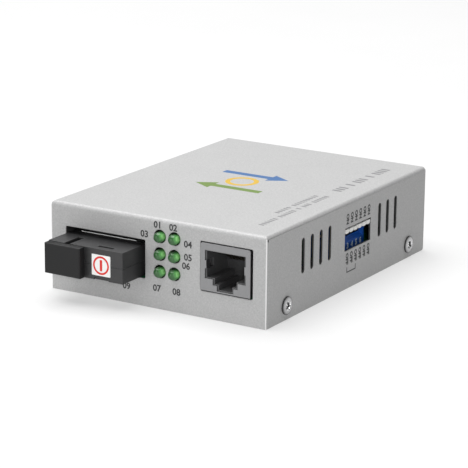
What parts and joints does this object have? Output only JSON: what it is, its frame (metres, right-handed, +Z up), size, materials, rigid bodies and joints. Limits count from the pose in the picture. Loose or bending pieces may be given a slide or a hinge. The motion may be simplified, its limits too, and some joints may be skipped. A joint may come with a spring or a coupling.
{
  "type": "fibre media converter",
  "caption": "Folded sheet-metal box that joins a copper network line to an optical fibre: square fibre port with dust cap, shielded jack, green lamps, side switch block.",
  "frame": {"origin": "centre of the case footprint, on the plane that the case stands on", "axes": "+X to the right along the front panel as seen from in front, +Y from the front panel to the back, +Z up"},
  "size_m": [0.0724, 0.1051, 0.026],
  "materials": {
    "case_paint": "fine-grained silver paint, satin",
    "bright_screw": "bright zinc plate",
    "standoff_metal": "bright turned",
    "board_green": "solder mask, semi-gloss",
    "module_black": "matt moulded",
    "tinned_pin": "bright tin",
    "insert_plastic": "matt moulded",
    "sleeve_ceramic": "polished",
    "barrel_steel": "turned",
    "clip_steel": "bright",
    "cap_black": "satin moulded",
    "sticker_paper": "satin printed label",
    "jack_tin": "tinned sheet, satin",
    "jack_black": "matt moulded",
    "gold_contact": "gold flash, bright",
    "holder_black": "matt moulded",
    "lamp_green": "tinted translucent epoxy, gloss",
    "switch_blue": "satin moulded",
    "lever_white": "satin moulded",
    "chip_black": "matt moulded",
    "crystal_steel": "drawn can",
    "capacitor_can": "bright drawn can",
    "inductor_core": "matt ferrite",
    "resistor_ceramic": "glazed",
    "capacitor_ceramic": "matt"
  },
  "bodies": {
    "case": {"case_cover": "case_paint", "case_base": "case_paint", "cover_screws": "bright_screw", "standoffs": "standoff_metal", "board_screws": "bright_screw", "circuit_board": "board_green", "transceiver_upper_shell": "module_black", "transceiver_lower_shell": "module_black", "transceiver_board": "board_green", "transceiver_pins": "tinned_pin", "port_insert": "insert_plastic", "ferrule_sleeve": "sleeve_ceramic", "optical_barrel": "barrel_steel", "shield_clip": "clip_steel", "type_sticker": "sticker_paper", "jack_shield": "jack_tin", "jack_housing": "jack_black", "jack_contacts": "gold_contact", "led_holder": "holder_black", "led_leads": "tinned_pin", "dip_housing": "switch_blue", "dip_axle": "barrel_steel", "dip_pins": "tinned_pin", "power_jack_housing": "jack_black", "power_jack_pin": "tinned_pin", "power_jack_terminals": "tinned_pin", "converter_chip": "chip_black", "converter_leads": "tinned_pin", "memory_chip": "chip_black", "line_transformer": "chip_black", "crystal_can": "crystal_steel", "filter_capacitors": "capacitor_can", "power_inductor": "inductor_core", "regulator": "chip_black", "chip_resistors": "resistor_ceramic", "chip_capacitors": "capacitor_ceramic", "led_1": "lamp_green", "led_2": "lamp_green", "led_3": "lamp_green", "led_4": "lamp_green", "led_5": "lamp_green", "led_6": "lamp_green"},
    "dust_cap": {"dust_cap": "cap_black"},
    "lever_1": {"dip_lever_1": "lever_white"},
    "lever_2": {"dip_lever_2": "lever_white"},
    "lever_3": {"dip_lever_3": "lever_white"},
    "lever_4": {"dip_lever_4": "lever_white"},
    "lever_5": {"dip_lever_5": "lever_white"},
    "lever_6": {"dip_lever_6": "lever_white"}
  },
  "joints": [
    {"name": "dust_cap_pull", "type": "slide", "parent": "case", "child": "dust_cap", "axis": [0, -1, 0], "range_m": [0, 0.03]},
    {"name": "lever_1_rock", "type": "hinge", "parent": "case", "child": "lever_1", "pos_m": [0.02775, -0.0019, 0.01505], "axis": [0, 1, 0], "range_deg": [0, 25]},
    {"name": "lever_2_rock", "type": "hinge", "parent": "case", "child": "lever_2", "pos_m": [0.02775, 0.00064, 0.01505], "axis": [0, 1, 0], "range_deg": [0, 25]},
    {"name": "lever_3_rock", "type": "hinge", "parent": "case", "child": "lever_3", "pos_m": [0.02775, 0.00318, 0.01505], "axis": [0, 1, 0], "range_deg": [0, 25]},
    {"name": "lever_4_rock", "type": "hinge", "parent": "case", "child": "lever_4", "pos_m": [0.02775, 0.00572, 0.01505], "axis": [0, 1, 0], "range_deg": [0, 25]},
    {"name": "lever_5_rock", "type": "hinge", "parent": "case", "child": "lever_5", "pos_m": [0.02775, 0.00826, 0.01505], "axis": [0, 1, 0], "range_deg": [0, 25]},
    {"name": "lever_6_rock", "type": "hinge", "parent": "case", "child": "lever_6", "pos_m": [0.02775, 0.0108, 0.01505], "axis": [0, 1, 0], "range_deg": [0, 25]}
  ]
}
